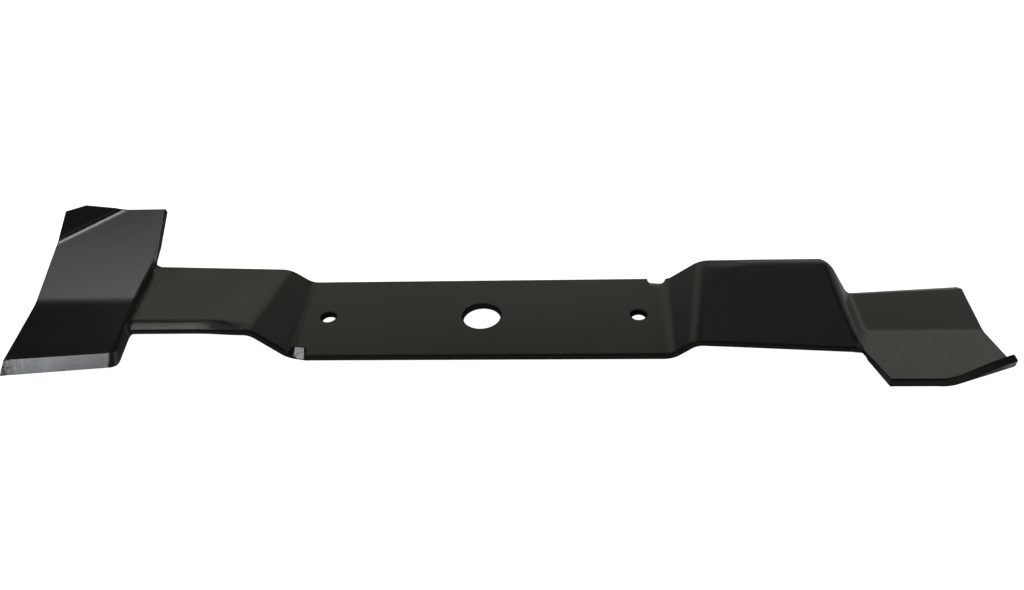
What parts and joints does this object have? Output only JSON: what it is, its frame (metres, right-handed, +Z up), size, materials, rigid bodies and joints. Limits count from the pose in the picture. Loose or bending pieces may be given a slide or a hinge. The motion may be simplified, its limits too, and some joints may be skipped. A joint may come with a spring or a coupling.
{
  "type": "rotary mower blade",
  "caption": "Pressed steel rotary mower blade with a flat pierced hub, raised arms and dropped wings that have ground cutting edges, lift flats and folded corner ears.",
  "frame": {"origin": "centre of the spindle bore, on the hub's upper face", "axes": "+X along the blade, +Z up the spindle, away from the cutting edges"},
  "size_m": [0.464, 0.1368, 0.0361],
  "materials": {
    "blade": "satin black paint over steel, bright ground bevel along each cutting edge"
  },
  "bodies": {
    "root": {"blade": "blade"}
  },
  "joints": []
}
